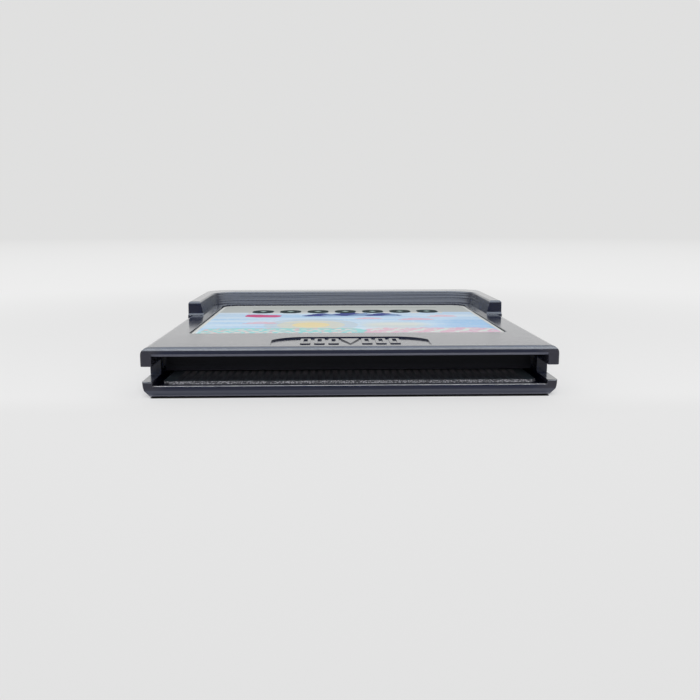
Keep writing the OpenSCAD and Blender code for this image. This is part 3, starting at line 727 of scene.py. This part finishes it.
def buildTable():
    look = tableLook
    mesh = bpy.data.meshes.new("table")
    shape = bmesh.new()
    bmesh.ops.create_circle(shape, cap_ends=True, segments=look["sides"], radius=look["radius"])
    shape.to_mesh(mesh)
    shape.free()
    table = bpy.data.objects.new("table", mesh)
    scene.collection.objects.link(table)
    material, tree, shader = newMaterial("tableTop")
    place = objectPlace(tree)
    y = axesOf(tree, place)["Y"]
    step = between(tree, y, look["frontStart"], look["frontStep"], 0.0, look["stepShare"], smooth=True)
    slow = between(tree, y, look["frontStep"], look["frontEnd"], 0.0, 1.0 - look["stepShare"])
    front = calc(tree, "ADD", step, slow)
    under = shadeUnderCase(tree, place)
    away = vectorCalc(tree, "LENGTH", place)
    glowing = between(tree, away, *look["fade"], look["glowNear"], 1.0, smooth=True)
    glowing = calc(tree, "MULTIPLY", glowing, calc(tree, "SUBTRACT", 1.0, under))
    # what the table gives off by itself, it doesn't reflect
    # painted shade towards the camera, in the colour here and in the glow below
    colour = mixColour(tree, front, look["colour"], look["front"])
    # the table under the case is painted dark as its shadow
    colour = mixColour(tree, under, colour, look["under"])
    plug(tree, shader.inputs["Base Color"], mixColour(tree, glowing, colour, look["black"]))
    near = mixColour(tree, front, look["near"], look["nearShadedFront"])
    haze = mixColour(tree, between(tree, away, *look["haze"]), near, look["far"])
    plug(tree, shader.inputs["Emission Color"], mixColour(tree, glowing, look["black"], haze))
    shader.inputs["Emission Strength"].default_value = 1.0
    shader.inputs["Roughness"].default_value = look["rough"]
    shader.inputs["Specular IOR Level"].default_value = 0.0
    mesh.materials.append(material)


# The room's light. Reflections also see the bright upper walls and the roof of a light tent.
# A pair says between which shares of a direction, on Y or on Z, the light changes.

roomLook = {
    "front": 0.22, "behind": 0.8, "turn": (-0.9, 0.0),
    "plainShare": 0.7,      # what is left of the room's light outside reflections
    "sideGlow": 6.0, "sideRise": (0.17, 0.42),
    "roofGlow": 1.0, "roofRise": (0.5, 1.0),
    "tentBehind": 0.1, "tentTurn": (0.1, 0.6),
    "tint": (0.93, 1.02, 1.09),
}


def buildWorld():
    look = roomLook
    world = bpy.data.worlds.new("studio")
    scene.world = world
    world.use_nodes = True
    tree = world.node_tree
    toward = axesOf(tree, add(tree, "TexCoord").outputs["Generated"])
    rays = add(tree, "LightPath").outputs
    room = between(tree, toward["Y"], *look["turn"], look["front"], look["behind"], smooth=True)
    share = between(tree, rays["Is Glossy Ray"], 0.0, 1.0, look["plainShare"], 1.0)
    plain = calc(tree, "MULTIPLY", room, share)
    sides = between(tree, toward["Z"], *look["sideRise"], 0.0, look["sideGlow"], smooth=True)
    roof = between(tree, toward["Z"], *look["roofRise"], 0.0, look["roofGlow"], smooth=True)
    ahead = between(tree, toward["Y"], *look["tentTurn"], 1.0, look["tentBehind"])
    tent = combine(tree, "MULTIPLY", calc(tree, "ADD", sides, roof), ahead, rays["Is Glossy Ray"])
    parts = [calc(tree, "MULTIPLY_ADD", tent, tint, plain) for tint in look["tint"]]
    lit = add(tree, "CombineColor", dict(zip(("Red", "Green", "Blue"), parts))).outputs[0]
    seen = mixColour(tree, rays["Is Camera Ray"], lit, tableLook["far"])
    plug(tree, tree.nodes["Background"].inputs["Color"], seen)


# A wide soft panel above and behind the camera

lampLook = {
    "distance": 0.8, "elevation": 38.0,     # elevation in degrees
    "width": 0.43, "height": 0.6,
    "radiance": 6.3,
}


def frontLamp():
    look = lampLook
    data = bpy.data.lights.new("frontPanel", "AREA")
    data.shape = "RECTANGLE"
    data.size = look["width"]
    data.size_y = look["height"]
    data.energy = look["radiance"] * math.pi * look["width"] * look["height"]
    lamp = bpy.data.objects.new("frontPanel", data)
    rise = math.radians(look["elevation"])
    lamp.location = (0.0, -look["distance"] * math.cos(rise), look["distance"] * math.sin(rise))
    lamp.rotation_euler = (-lamp.location).to_track_quat("-Z", "Y").to_euler()
    lamp.visible_glossy = False
    scene.collection.objects.link(lamp)


buildTable()
buildWorld()
frontLamp()
print("stage lit")
